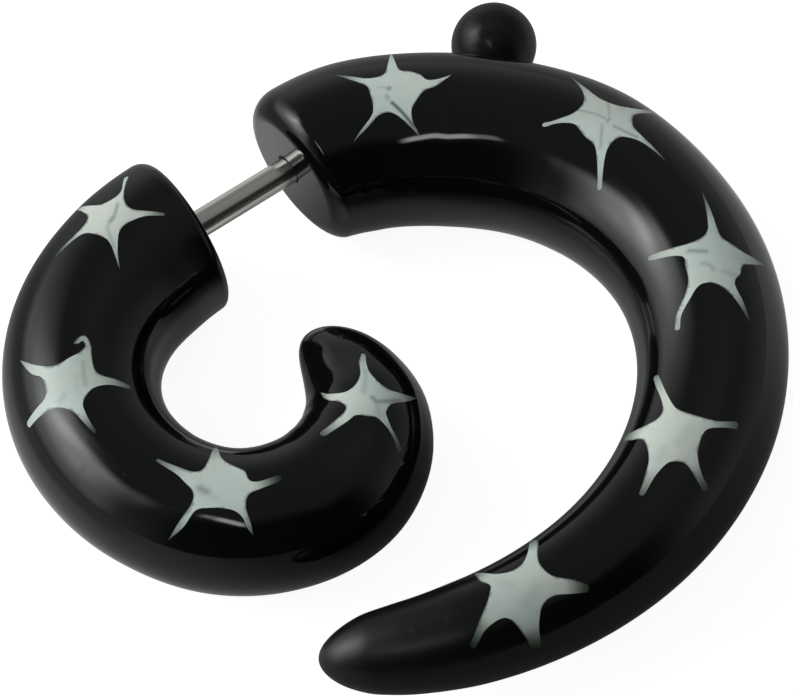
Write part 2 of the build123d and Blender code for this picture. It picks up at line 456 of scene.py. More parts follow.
FLOOR_DEPTH = 0.02  # millimetres below the earring
BOUNCE_DEPTH = 0.04
FLOOR_HALF = 2.0  # metres from the floor's middle to its sides
SENSOR = 36.0  # width of the camera's sensor in millimetres
LOOKED_AT = (-0.0364, 1.2809, 4.037)  # millimetres in the frame


class EarringSizes(bpy.types.PropertyGroup):
    """Sizes that the dressed pieces share with the solids."""

    front_thickness: FloatProperty(
        name="Front thickness", description="Thickest diameter of the front curl",
        default=7.74 * MM, unit="LENGTH",
    )
    back_thickness: FloatProperty(
        name="Back thickness", description="Thickest diameter of the back curl",
        default=8.06 * MM, unit="LENGTH",
    )
    front_bend: FloatProperty(
        name="Front bend", description="Usual bend radius of the front curl",
        default=8.0 * MM, unit="LENGTH",
    )
    back_bend: FloatProperty(
        name="Back bend", description="Usual bend radius of the back curl",
        default=12.39 * MM, unit="LENGTH",
    )
    front_rim: FloatProperty(
        name="Front rim", description="Rounding of the front curl's flat face",
        default=0.6 * MM, unit="LENGTH",
    )
    back_rim: FloatProperty(
        name="Back rim", description="Rounding of the back curl's flat face",
        default=1.1 * MM, unit="LENGTH",
    )
    post_diameter: FloatProperty(
        name="Post", description="Diameter of the steel post",
        default=1.3 * MM, unit="LENGTH",
    )
    thread_diameter: FloatProperty(
        name="Thread", description="Thin end of the post, inside the ball",
        default=1.15 * MM, unit="LENGTH",
    )
    ball_diameter: FloatProperty(
        name="Ball", description="Diameter of the screw ball",
        default=4.0 * MM, unit="LENGTH",
    )
    ring_step: FloatProperty(
        name="Ring step", description="Distance between the rings of a curl's mesh",
        default=0.25 * MM, unit="LENGTH",
    )
    around: IntProperty(
        name="Around", description="Mesh points round a curl",
        default=120, min=24, max=360,
    )


class EarringFinish(bpy.types.PropertyGroup):
    """Colours and gloss of the earring."""

    acrylic: FloatVectorProperty(
        name="Acrylic", description="Colour of the black acrylic",
        subtype="COLOR", default=(0.0042, 0.0046, 0.0050),
    )
    acrylic_roughness: FloatProperty(
        name="Acrylic roughness", description="Roughness of polished acrylic",
        default=0.05, subtype="FACTOR",
    )
    paint: FloatVectorProperty(
        name="Paint", description="Colour of a star where its paint is full",
        subtype="COLOR", default=(0.95, 1.0, 0.93),
    )
    thin_paint: FloatVectorProperty(
        name="Thin paint", description="Colour of a star where its paint is thin",
        subtype="COLOR", default=(0.12, 0.16, 0.12),
    )
    steel: FloatVectorProperty(
        name="Steel", description="Colour of the polished steel",
        subtype="COLOR", default=(1.0, 1.0, 0.93),
    )
    steel_roughness: FloatProperty(
        name="Steel roughness", description="Roughness of the polished steel",
        default=0.12, subtype="FACTOR",
    )


class StudioSettings(bpy.types.PropertyGroup):
    """Floor, light and camera."""

    floor_glow: FloatProperty(
        name="Floor glow", description="How white the floor is where it lies in shade",
        default=0.93,
    )
    window: FloatProperty(
        name="Window wall", description="Brightness of the pale wall round the window",
        default=0.95,
    )
    window_middle: FloatProperty(
        name="Window", description="Brightness of the soft window itself",
        default=2.6,
    )
    lamp: FloatProperty(
        name="Lamp", description="Brightness of the narrow lamp behind the camera",
        default=5.8,
    )
    room: FloatProperty(
        name="Room", description="Brightness of the room round the earring",
        default=0.155,
    )
    azimuth: FloatProperty(
        name="Azimuth", description="Camera's turn round the earring",
        default=math.radians(-27.7), unit="ROTATION",
    )
    elevation: FloatProperty(
        name="Elevation", description="Camera's height above the floor",
        default=math.radians(56.0), unit="ROTATION",
    )
    roll: FloatProperty(
        name="Roll", description="Camera's tilt to one side",
        default=math.radians(-8.4), unit="ROTATION",
    )
    distance: FloatProperty(
        name="Distance", description="From the camera to what it looks at",
        default=239.25 * MM, unit="LENGTH",
    )
    lens: FloatProperty(
        name="Lens", description="Focal length in millimetres on a 36 mm sensor",
        default=240.6,
    )


class Signal:
    """One shader value, so that shader maths reads as Python."""

    def __init__(self, sheet, socket):
        self.sheet = sheet
        self.socket = socket

    def maths(self, operation, *values):
        return self.sheet.out("ShaderNodeMath", {"operation": operation}, dict(enumerate(values)))

    def __add__(self, other):
        return self.maths("ADD", self, other)

    __radd__ = __add__

    def __sub__(self, other):
        return self.maths("SUBTRACT", self, other)

    def __rsub__(self, other):
        return self.maths("SUBTRACT", other, self)

    def __mul__(self, other):
        return self.maths("MULTIPLY", self, other)

    __rmul__ = __mul__

    def __truediv__(self, other):
        return self.maths("DIVIDE", self, other)

    def __pow__(self, other):
        return self.maths("POWER", self, other)

    def bell(self, middle, wide):
        """One where the value is at that middle, and softly less to both sides."""
        away = (self - middle) / wide
        return self.maths("EXPONENT", away * away * -1.0)


class Sheet:
    """Adds nodes to the node tree of one material or world."""

    def __init__(self, tree):
        self.tree = tree
        tree.nodes.clear()

    def node(self, kind, settings=None, values=None):
        """A node of that type. Its settings come first, then the values or links of its sockets."""
        node = self.tree.nodes.new(kind)
        for name, value in (settings or {}).items():
            setattr(node, name, value)
        self.fill(node, values or {})
        return node

    def fill(self, node, values):
        """Sets or links sockets of a node."""
        for key, value in values.items():
            if isinstance(value, Signal):
                self.tree.links.new(value.socket, node.inputs[key])
            else:
                node.inputs[key].default_value = value

    def out(self, kind, settings=None, values=None, socket=0):
        """One output of a new node."""
        return Signal(self, self.node(kind, settings, values).outputs[socket])

    def mix(self, share, low, high):
        """A colour between two colours."""
        return self.out("ShaderNodeMix", {"data_type": "RGBA"}, {0: share, 6: low, 7: high}, 2)

    def rise(self, value, low, high):
        """Zero below low, one above high, and smooth between."""
        sockets = {"Value": value, "From Min": low, "From Max": high}
        return self.out("ShaderNodeMapRange", {"interpolation_type": "SMOOTHSTEP"}, sockets)

    def band(self, value, rising, falling):
        """One between two soft ends, each given as where it begins and where it is done."""
        return self.rise(value, *rising) * (1 - self.rise(value, *falling))

    def place(self):
        """Where a point lies on its object."""
        return self.out("ShaderNodeTexCoord", None, None, "Object")

    def drawn_out(self, place, scale, rotation=(0.0, 0.0, 0.0)):
        """The place, scaled by axis, so that a noise on it turns to long marks."""
        sockets = {"Vector": place, "Rotation": rotation, "Scale": scale}
        return self.out("ShaderNodeMapping", None, sockets)

    def noise(self, place, scale, detail=2.0, roughness=0.5):
        sockets = {"Vector": place, "Scale": scale, "Detail": detail, "Roughness": roughness}
        return self.out("ShaderNodeTexNoise", None, sockets)

    def bump(self, height, strength, distance):
        sockets = {"Strength": strength, "Distance": distance, "Height": height}
        return self.out("ShaderNodeBump", None, sockets)

    def attribute(self, name, socket="Fac"):
        return self.out("ShaderNodeAttribute", {"attribute_name": name}, None, socket)

    def parts(self, vector):
        """The three parts of a vector."""
        node = self.node("ShaderNodeSeparateXYZ", None, {0: vector})
        return [Signal(self, output) for output in node.outputs]


def solid(colour):
    """A colour with full alpha."""
    return (*colour[:3], 1.0)


def surface_material(name):
    """A new material and its sheet, with its Principled shader already on the output."""
    material = bpy.data.materials.new(name)
    material.use_nodes = True
    sheet = Sheet(material.node_tree)
    shader = sheet.node("ShaderNodeBsdfPrincipled")
    sheet.node("ShaderNodeOutputMaterial", None, {"Surface": Signal(sheet, shader.outputs[0])})
    return material, sheet, shader


def feed(sheet, shader, **values):
    """Sets or links the shader's sockets, whose names are given with underscores."""
    sheet.fill(shader, {key.replace("_", " "): value for key, value in values.items()})


def polished(sheet, finish):
    """Roughness and normal of hand-polished acrylic: faint waves, hairline scratches and a few specks.

    The back curl's long tail is rubbed duller. The chart map holds the way down the skin in
    millimetres.
    """
    place = sheet.place()
    crossing = sheet.drawn_out(place, (1.0, 14.0, 5.0), (0.3, 0.2, 0.9))
    scratches = sheet.rise(sheet.noise(crossing, 900.0, 1.0), 0.70, 0.76)
    smears = sheet.rise(sheet.noise(place, 160.0, 3.0), 0.45, 0.75)
    specks = sheet.rise(sheet.noise(place, 1900.0, 0.0), 0.79, 0.83)
    way, _, _ = sheet.parts(sheet.out("ShaderNodeUVMap", {"uv_map": "chart"}))
    rubbed = sheet.rise(way, 44.0, 52.0)
    roughness = finish.acrylic_roughness + smears * 0.035 + scratches * 0.06
    roughness = roughness + specks * 0.15 + rubbed * 0.29
    height = sheet.noise(place, 330.0, 1.0) - scratches * 0.03 - specks * 0.06
    return roughness, sheet.bump(height, 0.12, 0.00006)


def acrylic_material(finish):
    """Black acrylic, polished by hand."""
    material, sheet, shader = surface_material("polished black acrylic")
    roughness, normal = polished(sheet, finish)
    feed(sheet, shader, Base_Color=solid(finish.acrylic), Roughness=roughness, Normal=normal)
    feed(sheet, shader, IOR=ACRYLIC_IOR)
    return material


def paint_material(finish):
    """Pale star paint under the same polish, brushed out from the middle of each star.

    It thins towards the ray ends, at its edge and along its brush marks. The back curl's last stars are
    also darkened all over, as painted shade.
    """
    material, sheet, shader = surface_material("pale star paint")
    roughness, normal = polished(sheet, finish)
    place = sheet.place()
    cloud = sheet.rise(sheet.noise(place, 420.0, 3.0, 0.6), 0.30, 0.75)
    tone = sheet.rise(sheet.noise(place, 260.0, 1.0), 0.35, 0.65)
    grain = sheet.noise(place, 2600.0, 2.0)
    # thin also holds the painted shade that darkens the back curl's last stars all over
    thin = sheet.attribute("thin")
    brushed = sheet.attribute("brushed")
    rim = sheet.attribute("rim")
    x, y, _ = sheet.parts(sheet.attribute("spot", "Vector"))
    reach = (x * x + y * y + 0.0001) ** 0.5
    # Hairs of the brush, fanned out from the middle of the star
    fanned = {"X": x / reach * 4.0, "Y": y / reach * 4.0, "Z": reach * 0.5}
    fan = sheet.out("ShaderNodeCombineXYZ", None, fanned)
    hairs = sheet.rise(sheet.noise(fan, 1.2, 2.0, 0.6), 0.45, 0.75) * sheet.rise(reach, 0.2, 1.4)
    body = sheet.mix(tone, solid(finish.paint), (0.88, 1.0, 0.97, 1.0))
    clouded = sheet.mix(cloud * 0.30 + grain * 0.10, body, (0.72, 0.83, 0.76, 1.0))
    haired = sheet.mix(hairs * 0.22, clouded, (0.56, 0.66, 0.62, 1.0))
    marked = sheet.mix(brushed, haired, (0.09, 0.14, 0.15, 1.0))
    thinned = sheet.mix(sheet.rise(thin, 0.0, 0.75), marked, solid(finish.thin_paint))
    ended = sheet.mix(sheet.rise(thin, 0.6, 1.0), thinned, solid(finish.acrylic))
    colour = sheet.mix(sheet.rise(rim, 0.3, 1.0) * 0.6, ended, (0.03, 0.04, 0.07, 1.0))
    feed(sheet, shader, Base_Color=colour, Roughness=roughness, Normal=normal)
    feed(sheet, shader, IOR=ACRYLIC_IOR, Specular_IOR_Level=0.2)
    return material


def bored_material(finish):
    """Acrylic left dull by the drill."""
    material, sheet, shader = surface_material("drilled black acrylic")
    place = sheet.place()
    rings = sheet.noise(sheet.drawn_out(place, (9.0, 1.0, 1.0)), 700.0)
    normal = sheet.bump(rings, 0.4, 0.00003)
    roughness = 0.25 + rings * 0.2
    feed(sheet, shader, Base_Color=solid(finish.acrylic), Roughness=roughness, Normal=normal)
    feed(sheet, shader, IOR=ACRYLIC_IOR)
    return material


def steel_material(finish):
    """Polished steel with faint turning marks round the post."""
    material, sheet, shader = surface_material("polished steel")
    place = sheet.place()
    turned = sheet.noise(sheet.drawn_out(place, (12.0, 1.0, 1.0)), 900.0, 3.0)
    lengthwise = sheet.noise(sheet.drawn_out(place, (0.4, 6.0, 6.0)), 900.0, 2.0)
    roughness = finish.steel_roughness + turned * 0.06 + lengthwise * 0.05
    colour = sheet.mix(lengthwise * 0.5 + turned * 0.2, solid(finish.steel), (0.90, 0.91, 0.84, 1.0))
    normal = sheet.bump(turned, 0.2, 0.00001)
    feed(sheet, shader, Base_Color=colour, Roughness=roughness, Normal=normal)
    feed(sheet, shader, Metallic=1.0, Anisotropic=0.6)
    return material


def ball_material(finish):
    """Black acrylic of the ball, tumbled and so a little duller and mottled."""
    material, sheet, shader = surface_material("tumbled black acrylic")
    place = sheet.place()
    mottle = sheet.noise(place, 900.0, 4.0, 0.6)
    dark, light = solid((0.011, 0.014, 0.012)), solid((0.020, 0.023, 0.020))
    colour = sheet.mix(sheet.rise(mottle, 0.4, 0.8), dark, light)
    normal = sheet.bump(mottle, 0.15, 0.00004)
    feed(sheet, shader, Base_Color=colour, Roughness=0.16 + mottle * 0.12, Normal=normal, IOR=1.30)
    return material


def softened(values, reach):
    """Values along a line, each blended with its neighbours that far to both sides. The ends stay."""
    bell = np.hanning(2 * reach + 3)[1:-1]
    longer = np.pad(values, reach, mode="reflect", reflect_type="odd")
    return np.convolve(longer, bell / bell.sum(), mode="valid")


def running_sum(values, step):
    """The integral of values along a line, from zero."""
    return np.concatenate([[0.0], np.cumsum((values[1:] + values[:-1]) / 2 * step)])


class Skin:
    """The surface of one curl, in millimetres from the back curl's face on the post's axis.

    A place on it is its way down the skin from the middle of the flat face, and its turn from the top.
    """

    def __init__(self, curl):
        self.curl = curl
        # The centre line, with each bend blended into the next
        arcs = [math.radians(bend.turn) * bend.radius * curl.bend_size for bend in curl.bends]
        self.length = sum(arcs)
        count = round(self.length / LINE_STEP)
        self.line = np.linspace(0.0, self.length, count + 1)
        step = self.line[1]
        reach = round(LINE_SOFTENING / step)
        radii = np.array([bend.radius * curl.bend_size for bend in curl.bends])
        which = np.minimum(np.searchsorted(np.cumsum(arcs), self.line), len(radii) - 1)
        self.curvature = softened(1 / radii[which], reach)
        turned = running_sum(self.curvature, step)
        self.heading = (0.0 if curl.side > 0 else math.pi) - curl.side * turned
        self.x = curl.start[0] + running_sum(np.cos(self.heading), step)
        self.y = curl.start[1] + running_sum(np.sin(self.heading), step)
        # The tube's radii, as squares so that the tip is round
        alongs = [section.along * self.length for section in curl.sections]
        squares = [(section.radius * curl.thickness / 2) ** 2 for section in curl.sections]
        self.squares = np.maximum(softened(np.interp(self.line, alongs, squares), reach // 2), 0.0)
        self.slopes = np.gradient(self.squares, step) / 2  # radius times its change along the line
        # The rim is an arc that touches the flat face and the tube
        self.rim_end = curl.rim
        for _ in range(RIM_ROUNDS):
            radius = math.sqrt(self.square_at(self.rim_end))
            tilt = math.atan(self.slope_at(self.rim_end) / radius)
            self.rim_end = curl.rim * (1 - math.sin(tilt))
        self.face_radius = radius - curl.rim * math.cos(tilt)
        self.rim_turn = math.pi / 2 - tilt
        self.tube_start = self.face_radius + curl.rim * self.rim_turn
        self.way = self.tube_start + self.length - self.rim_end

    def square_at(self, along):
        return np.interp(along, self.line, self.squares)

    def slope_at(self, along):
        return np.interp(along, self.line, self.slopes)

    def way_of(self, along):
        """The way down the skin at which the tube has gone that far along the centre line."""
        return self.tube_start + along - self.rim_end

    def radius_at(self, along):
        return np.sqrt(self.square_at(along))

    def place(self, way, turn):
        """Points and normals of the skin."""
        way, turn = np.asarray(way, float), np.asarray(turn, float)
        bent = np.clip((way - self.face_radius) / self.curl.rim, 0.0, self.rim_turn)
        tube = np.clip(self.rim_end + way - self.tube_start, 0.0, self.length)
        on_tube = way > self.tube_start
        on_face = way < self.face_radius
        along = np.where(on_tube, tube, self.curl.rim * (1 - np.cos(bent)))
        rim_radius = self.face_radius + self.curl.rim * np.sin(bent)
        radius = np.where(on_tube, np.sqrt(self.square_at(tube)), np.where(on_face, way, rim_radius))
        forward = np.where(on_tube, radius, np.sin(bent))
        widening = np.where(on_tube, self.slope_at(tube), np.cos(bent))
        heading = np.interp(along, self.line, self.heading)
        flat = np.zeros_like(heading)
        upward = np.array([0.0, 0.0, 1.0])
        tangent = np.stack([np.cos(heading), np.sin(heading), flat], -1)
        outward = self.curl.side * np.stack([-np.sin(heading), np.cos(heading), flat], -1)
        x, y = np.interp(along, self.line, self.x), np.interp(along, self.line, self.y)
        middle = np.stack([x, y, flat], -1)
        radial = np.cos(turn)[..., None] * upward + np.sin(turn)[..., None] * outward
        stretch = 1 + radius * np.sin(turn) * np.interp(along, self.line, self.curvature)
        normals = (forward * stretch)[..., None] * radial - widening[..., None] * tangent
        # The face's lean and setback
        near_face = np.clip(1 - along / LEAN_REACH, 0.0, 1.0) ** 2
        lean = self.curl.face.lean * near_face
        shift = self.curl.face.setback * near_face - lean * radius * np.sin(turn)
        points = middle + radius[..., None] * radial + shift[..., None] * tangent
        normals += (lean * (normals * tangent).sum(-1))[..., None] * outward
        normals /= np.maximum(np.linalg.norm(normals, axis=-1, keepdims=True), TINY)
        # The hollows and swellings, on the curl's side and not on its flat face
        sideways = np.cos(turn)[..., None] * outward - np.sin(turn)[..., None] * upward
        on_side = np.clip((normals * radial).sum(-1), 0.0, 1.0) * np.clip(radius - POLE_CLEAR, 0.0, 1.0)
        for dent in self.curl.dents:
            down = (along - dent.along) / dent.long
            wide = math.radians(dent.wide)
            round_it = ((turn - math.radians(dent.turn) + math.pi) % math.tau - math.pi) / wide
            deep = dent.deep * np.exp(-(down**2) - round_it**2) * on_side
            points -= deep[..., None] * normals
            normals -= (2 * deep * down / dent.long / stretch)[..., None] * tangent
            normals -= (2 * deep * round_it / wide / np.maximum(radius, 1.0))[..., None] * sideways
        normals /= np.maximum(np.linalg.norm(normals, axis=-1, keepdims=True), TINY)
        return points, normals


def smooth_run(points, grain):
    """A smooth line through the points, with a point every grain or so. The last one is left out."""
    run = []
    ends = [points[0] * 2 - points[1], *points, points[-1] * 2 - points[-2]]
    for before, low, high, after in zip(ends, ends[1:], ends[2:], ends[3:]):
        count = max(1, round((high - low).length / grain))
        for step in range(count):
            t = step / count
            bend = 2 * before - 5 * low + 4 * high - after
            twist = 3 * low - before - 3 * high + after
            run.append(0.5 * (2 * low + (high - before) * t + bend * t**2 + twist * t**3))
    return run


def ray_cap(ray):
    """The end of a ray, clockwise: a point, or a half circle where the ray is blunt."""
    tip = Vector((ray.x, ray.y))
    if not ray.blunt:
        return [tip]
    ahead = tip.normalized()
    side = Vector((ahead.y, -ahead.x))
    radius = ray.blunt / 2
    turns = [math.pi * k / CAP_STEPS for k in range(CAP_STEPS + 1)]
    return [tip + radius * ((math.sin(turn) - 1) * ahead - math.cos(turn) * side) for turn in turns]


def star_outline(star):
    """The star's edge, clockwise. A blunt ray ends in a short round cap."""
    outline = []
    for ray, after in zip(star.rays, star.rays[1:] + star.rays[:1]):
        cap, next_cap = ray_cap(ray), ray_cap(after)
        outline += cap[:-1]
        edge = [Vector(point) for point in ray.edge]
        outline += smooth_run([cap[-1], *edge, next_cap[0]], EDGE_GRAIN)
    return outline


def inside(outline, points):
    """Whether each point lies inside the closed outline."""
    found = np.zeros(len(points), bool)
    ring = np.array(outline)
    for (ax, ay), (bx, by) in zip(ring, np.roll(ring, -1, axis=0)):
        crosses = (ay > points[:, 1]) != (by > points[:, 1])
        rise = by - ay if by != ay else TINY
        found ^= crosses & (points[:, 0] < ax + (points[:, 1] - ay) * (bx - ax) / rise)
    return found


def distance_to_path(points, path):
    """Distance from each point to an open path."""
    nearest = np.full(len(points), np.inf)
    for a, b in zip(np.array(path[:-1]), np.array(path[1:])):
        along = np.clip(((points - a) @ (b - a)) / max((b - a) @ (b - a), TINY), 0, 1)
        nearest = np.minimum(nearest, np.linalg.norm(points - a - along[:, None] * (b - a), axis=1))
    return nearest


def paint_thinness(star, points):
    """How thin the paint is at each point, from 0 to 1. It fades along a ray towards its tip."""
    tips = np.array([(ray.x, ray.y) for ray in star.rays])
    fades = np.array([ray.fade for ray in star.rays])
    reach = np.linalg.norm(tips, axis=1)
    towards = points @ (tips / reach[:, None]).T
    away = np.linalg.norm(points, axis=1)[:, None] + TINY
    ray = np.argmax(towards / away, axis=1)
    share = towards[np.arange(len(points)), ray] / reach[ray]
    far = np.clip((share - FADE_START) / (1 - FADE_START), 0, 1)
    # A star's darkening all over is in part thinner paint, and on the back curl's last stars painted
    # shade
    return np.maximum(star.worn, far * (LEAST_FADE + (1 - LEAST_FADE) * fades[ray]))


def soft_edge(star, points):
    """How soft the paint's edge is at points on it. It is crisp where a ray is narrow."""
    away = [distance_to_path(points, [(0.0, 0.0), (ray.x, ray.y)]) for ray in star.rays]
    return np.clip((np.min(away, axis=0) - CRISP_WIDTH) / SOFTENING_WIDTH, 0.0, 1.0)


def brush_marks(star, points, reach=0.5):
    """How strongly a brush mark shows at each point. It fades over that share of its width."""
    marks = np.zeros(len(points))
    for stroke in star.strokes:
        away = distance_to_path(points, stroke.path)
        marks = np.maximum(marks, stroke.dark * np.exp(-((away / (stroke.wide * reach)) ** 2)))
    return marks


class Build:
    """Gathers the points and faces of a curl's mesh."""

    def __init__(self):
        self.ways = []
        self.turns = []
        self.thin = []
        self.brushed = []
        self.rim = []
        self.spot = []  # place on the star
        self.faces = []
        self.corners = []  # way and turn at each corner of each face
        self.islands = []  # each face's star, or none
        self.materials = []

    def add(self, way, turn, thin=0.0, brushed=0.0, rim=0.0, spot=(0.0, 0.0)):
        self.ways.append(way)
        self.turns.append(turn)
        self.thin.append(thin)
        self.brushed.append(brushed)
        self.rim.append(rim)
        self.spot.append((*spot, 0.0))
        return len(self.ways) - 1

    def face(self, points, corners, material=ACRYLIC, island=None):
        self.faces.append(points)
        self.corners.append(corners)
        self.islands.append(island)
        self.materials.append(material)


def window_border(low_ring, high_ring, low_turn, high_turn):
    """The lattice places on the border of a window, once round."""
    border = [(i, low_turn) for i in range(low_ring, high_ring)]
    border += [(high_ring, j) for j in range(low_turn, high_turn)]
    border += [(i, high_turn) for i in range(high_ring, low_ring, -1)]
    return border + [(low_ring, j) for j in range(high_turn, low_turn, -1)]


def star_filling(star, outline, closed):
    """Mesh points inside a star: rows all over it, and closer ones along its brush marks."""
    spread = np.arange(-STAR_SPAN / 2, STAR_SPAN / 2, STAR_GRAIN)
    shifts = [(row % 2) * STAR_GRAIN / 2 for row in range(len(spread))]
    fine = np.array([(x + shift, y) for shift, y in zip(shifts, spread) for x in spread])
    fine = fine[inside(outline, fine)]
    fine = fine[distance_to_path(fine, closed) > STAR_GRAIN * EDGE_GAP]
    tight = np.arange(-STAR_SPAN / 2, STAR_SPAN / 2, STROKE_GRAIN)
    marks = np.array([(x, y) for y in tight for x in tight])
    marks = marks[brush_marks(star, marks, 1.0) > FAINTEST_MARK]
    marks = marks[inside(outline, marks)]
    marks = marks[distance_to_path(marks, closed) > STROKE_GRAIN]
    if len(marks):
        near = np.min(np.linalg.norm(fine[:, None] - marks[None], axis=2), axis=1)
        fine = fine[near > STROKE_GRAIN * STROKE_GAP]
    return [*fine, *marks]


def lay_star(build, skin, star, number, rings, turns, grid):
    """Fills a window of the lattice with triangles that follow the star. Returns the window's cells."""
    middle = skin.way_of(star.along)
    radius = skin.radius_at(star.along)
    tilt = math.radians(star.turn)
    outline = star_outline(star)
    closed = [*outline, outline[0]]
    local = np.array(outline)
    xs, ys = rings - middle, (turns - tilt) * radius
    low_ring = int(np.searchsorted(xs, local[:, 0].min() - WINDOW_MARGIN)) - 1
    high_ring = int(np.searchsorted(xs, local[:, 0].max() + WINDOW_MARGIN))
    low_turn = int(np.searchsorted(ys, local[:, 1].min() - WINDOW_MARGIN)) - 1
    high_turn = int(np.searchsorted(ys, local[:, 1].max() + WINDOW_MARGIN))
    # The window's border, the star's edge, the lattice points round the star, and the points inside it
    border = window_border(low_ring, high_ring, low_turn, high_turn)
    points = [Vector((xs[i], ys[j])) for i, j in border]
    edges = [(k, (k + 1) % len(border)) for k in range(len(border))]
    first = len(points)
    points += outline
    edges += [(first + k, first + (k + 1) % len(outline)) for k in range(len(outline))]
    lattice = [(i, j) for i in range(low_ring + 1, high_ring) for j in range(low_turn + 1, high_turn)]
    coarse = np.array([(xs[i], ys[j]) for i, j in lattice])
    coarse = coarse[(distance_to_path(coarse, closed) > STAR_GRAIN) & ~inside(outline, coarse)]
    points += [Vector(point) for point in [*coarse, *star_filling(star, outline, closed)]]
    made, _, triangles, sources, _, _ = delaunay_2d_cdt(points, edges, [], 0, JOIN_DISTANCE)
    flat = np.array(made)
    thin = paint_thinness(star, flat)
    brushed = brush_marks(star, flat)
    edge = soft_edge(star, local)
    indices = []
    for k, source in enumerate(sources):
        on_border = [s for s in source if s < first]
        on_edge = [s - first for s in source if first <= s < first + len(outline)]
        if on_border:
            indices.append(grid[border[on_border[0]]])
        else:
            rim = edge[on_edge[0]] if on_edge else 0.0
            way, turn = middle + flat[k, 0], tilt + flat[k, 1] / radius
            indices.append(build.add(way, turn, thin[k], brushed[k], rim, flat[k]))
    middles = np.array([flat[list(triangle)].mean(axis=0) for triangle in triangles])
    painted = inside(outline, middles)
    for triangle, in_star in zip(triangles, painted):
        corners = [(middle + flat[k, 0], tilt + flat[k, 1] / radius) for k in triangle]
        island = (number, middle, tilt, radius) if in_star else None
        build.face([indices[k] for k in triangle], corners, PAINT if in_star else ACRYLIC, island)
    return {(i, j) for i in range(low_ring, high_ring) for j in range(low_turn, high_turn)}


def lay_curl(skin, sizes):
    """The points and faces of a whole curl, before it is drilled."""
    step = sizes.ring_step / MM
    face_rings = np.linspace(0.0, skin.face_radius, FACE_RINGS + 1)[1:]
    rim_rings = np.linspace(skin.face_radius, skin.tube_start, RIM_RINGS + 1)[1:]
    tip_start = skin.way - TIP_LENGTH
    tube_count = round((tip_start - skin.tube_start) / step)
    tube_rings = np.linspace(skin.tube_start, tip_start, tube_count + 1)[1:]
    left = 1 - np.arange(1, TIP_RINGS) / TIP_RINGS
    tip_rings = skin.way - TIP_LENGTH * left**2
    rings = np.concatenate([face_rings, rim_rings, tube_rings, tip_rings])
    turns = np.linspace(-math.pi, math.pi, sizes.around + 1)
    build = Build()
    grid = {}
    for i, way in enumerate(rings):
        for j, turn in enumerate(turns[:-1]):
            grid[i, j] = build.add(way, turn)
        grid[i, sizes.around] = grid[i, 0]
    windows = set()
    for number, star in enumerate(skin.curl.stars):
        windows |= lay_star(build, skin, star, number, rings, turns, grid)
    for i in range(len(rings) - 1):
        for j in range(sizes.around):
            if (i, j) not in windows:
                cell = [(i, j), (i + 1, j), (i + 1, j + 1), (i, j + 1)]
                build.face([grid[c] for c in cell], [(rings[a], turns[b]) for a, b in cell])
    for way, ring, order in ((0.0, 0, (0, 1, 2)), (skin.way, len(rings) - 1, (1, 0, 2))):
        pole = build.add(way, 0.0)
        for low, high, j in zip(turns, turns[1:], range(sizes.around)):
            points = [pole, grid[ring, j], grid[ring, j + 1]]
            corners = [(way, (low + high) / 2), (rings[ring], low), (rings[ring], high)]
            build.face([points[k] for k in order], [corners[k] for k in order])
    return build


def bake_place(skin, corner, island):
    """Where a corner of a face lies on the bake map."""
    way, turn = corner
    if island is None:
        return (
            BAKE_MARGIN + way / skin.way * (1 - 2 * BAKE_MARGIN),
            BAKE_MARGIN + (turn / math.tau + 0.5) * STRIP_HEIGHT,
        )
    number, middle, tilt, radius = island
    x, y = way - middle, (turn - tilt) * radius
    return (number + 0.5 + x / STAR_SPAN) / STAR_PLACES, STAR_ROW + y / STAR_SPAN / STAR_PLACES


def mesh_of(name, points, faces, chart, bake, materials):
    """A smooth mesh with its two maps. chart and bake hold one pair for each corner of each face."""
    mesh = bpy.data.meshes.new(name)
    mesh.from_pydata([tuple(point) for point in points], [], faces)
    for layer, places in (("chart", chart), ("OFBake", bake)):
        uv = mesh.uv_layers.new(name=layer)
        uv.data.foreach_set("uv", np.array(places, np.float32).ravel())
    mesh.polygons.foreach_set("material_index", materials)
    mesh.shade_smooth()
    return mesh


def new_object(name, mesh):
    thing = bpy.data.objects.new(name, mesh)
    bpy.context.scene.collection.objects.link(thing)
    return thing


def to_frame(points):
    """Points in metres in the frame, from millimetres on the post's axis."""
    low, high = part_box("post")
    middle = (low + high) / 2
    origin = np.array([low.x - POST_START * MM, middle.y, middle.z])
    return np.asarray(points) * MM + origin


def lathe(name, profile, around, material=0):
    """A mesh turned about the post's axis from (place along X, radius) points, its ends on the axis."""
    turns = [math.tau * (k + LATHE_TURN) / around for k in range(around)]
    points = [(profile[0][0], 0.0, 0.0)]
    for x, radius in profile[1:-1]:
        points += [(x, radius * math.cos(turn), radius * math.sin(turn)) for turn in turns]
    points.append((profile[-1][0], 0.0, 0.0))
    lengths = [math.dist(a, b) for a, b in zip(profile, profile[1:])]
    shares = [sum(lengths[:k]) / sum(lengths) for k in range(len(profile))]
    faces, maps = [], []

    def spot(ring, column):
        return column / around, BORE_ROW + BORE_HEIGHT * shares[ring]

    for k in range(around):
        after = (k + 1) % around
        faces.append([0, 1 + after, 1 + k])
        maps += [spot(0, k + 0.5), spot(1, k + 1), spot(1, k)]
        for ring in range(len(profile) - 3):
            low, high = 1 + ring * around, 1 + (ring + 1) * around
            faces.append([low + k, low + after, high + after, high + k])
            maps += [spot(ring + 1, k), spot(ring + 1, k + 1), spot(ring + 2, k + 1), spot(ring + 2, k)]
        end = len(profile) - 1
        last = 1 + (end - 2) * around
        faces.append([last + k, last + after, len(points) - 1])
        maps += [spot(end - 1, k), spot(end - 1, k + 1), spot(end, k + 0.5)]
    return mesh_of(name, to_frame(points), faces, maps, maps, [material] * len(faces))


